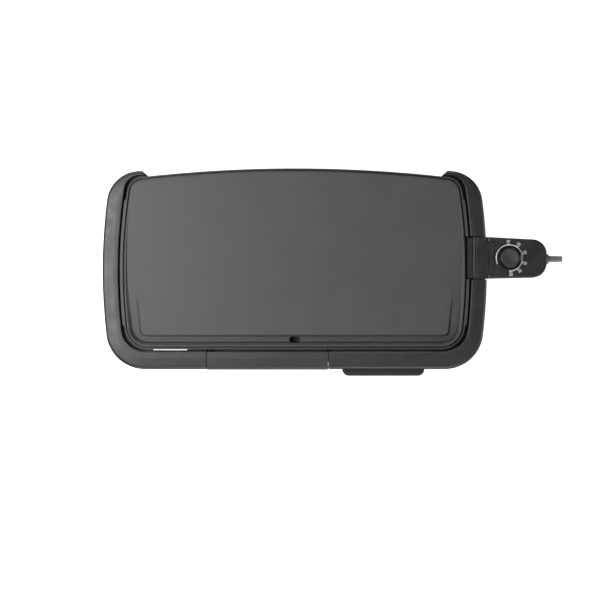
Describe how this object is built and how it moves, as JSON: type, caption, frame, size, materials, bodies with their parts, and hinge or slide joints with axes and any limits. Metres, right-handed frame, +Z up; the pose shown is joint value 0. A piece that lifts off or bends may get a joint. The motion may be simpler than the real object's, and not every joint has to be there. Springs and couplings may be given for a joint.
{
  "type": "electric griddle",
  "caption": "Long flat electric griddle: cast plate in an open-backed moulded base, slide-out drip and warming trays, plug-in heat probe.",
  "frame": {"origin": "on the table under the middle of the base", "axes": "+X along the griddle towards the heat probe, +Y to the open back of the base, +Z up"},
  "size_m": [0.6914, 0.313, 0.0815],
  "materials": {
    "black_plastic": "fine-textured moulded black plastic",
    "nonstick": "satin dark grey non-stick coating on cast aluminium",
    "tray_plastic": "fine-textured moulded black plastic",
    "probe_plastic": "satin black phenolic",
    "knob_plastic": "semi-gloss black phenolic",
    "rubber": "black rubber",
    "flex_rubber": "black flexible PVC",
    "reflector_steel": "bright rolled aluminised sheet",
    "zinc_steel": "zinc-plated steel",
    "element_sheath": "dull oxidised steel sheath",
    "ceramic": "matt steatite ceramic",
    "brass": "plain brass",
    "steel": "polished stainless steel",
    "spring_steel": "spring steel",
    "lead_sleeve": "woven glass sleeving"
  },
  "bodies": {
    "base": {"base_frame": "black_plastic", "rubber_feet": "rubber", "foot_screws": "zinc_steel", "heat_reflector": "reflector_steel", "reflector_screws": "zinc_steel", "tray_runner_left": "zinc_steel", "tray_runner_right": "zinc_steel", "runner_screws": "zinc_steel"},
    "plate": {"griddle_plate": "nonstick", "heating_element": "element_sheath", "terminal_pins": "steel", "ceramic_insulators": "ceramic", "terminal_guard": "probe_plastic", "guard_screws": "zinc_steel", "lever_pin": "steel", "lever_spring": "spring_steel"},
    "lever": {"release_lever": "probe_plastic"},
    "probe": {"probe_housing_top": "probe_plastic", "probe_housing_bottom": "probe_plastic", "housing_screws": "zinc_steel", "terminal_block": "probe_plastic", "female_terminals": "brass", "sensing_rod": "steel", "thermostat_frame": "zinc_steel", "bimetal_blade": "spring_steel", "contact_blade": "brass", "strain_relief": "flex_rubber", "internal_leads": "lead_sleeve"},
    "knob": {"control_knob": "knob_plastic", "knob_shaft": "steel"},
    "drip_tray": {"drip_tray": "tray_plastic"},
    "warming_tray": {"warming_tray": "tray_plastic"}
  },
  "joints": [
    {"name": "plate_lift", "type": "slide", "parent": "base", "child": "plate", "axis": [0, 0, 1], "range_m": [0, 0.1]},
    {"name": "probe_unplug", "type": "slide", "parent": "plate", "child": "probe", "axis": [1, 0, 0], "range_m": [0, 0.1]},
    {"name": "lever_rock", "type": "hinge", "parent": "plate", "child": "lever", "pos_m": [0.277, 0.01835, 0.0632], "axis": [0, -1, 0], "range_deg": [0, 6], "stiffness_Nm_per_rad": 0.15},
    {"name": "knob_turn", "type": "hinge", "parent": "probe", "child": "knob", "pos_m": [0.3219, 0.018, 0.07], "axis": [0, 0, 1], "range_deg": [-90, 205]},
    {"name": "drip_tray_slide", "type": "slide", "parent": "base", "child": "drip_tray", "axis": [0, -1, 0], "range_m": [0, 0.11]},
    {"name": "warming_tray_slide", "type": "slide", "parent": "base", "child": "warming_tray", "axis": [0, -1, 0], "range_m": [0, 0.2]}
  ]
}
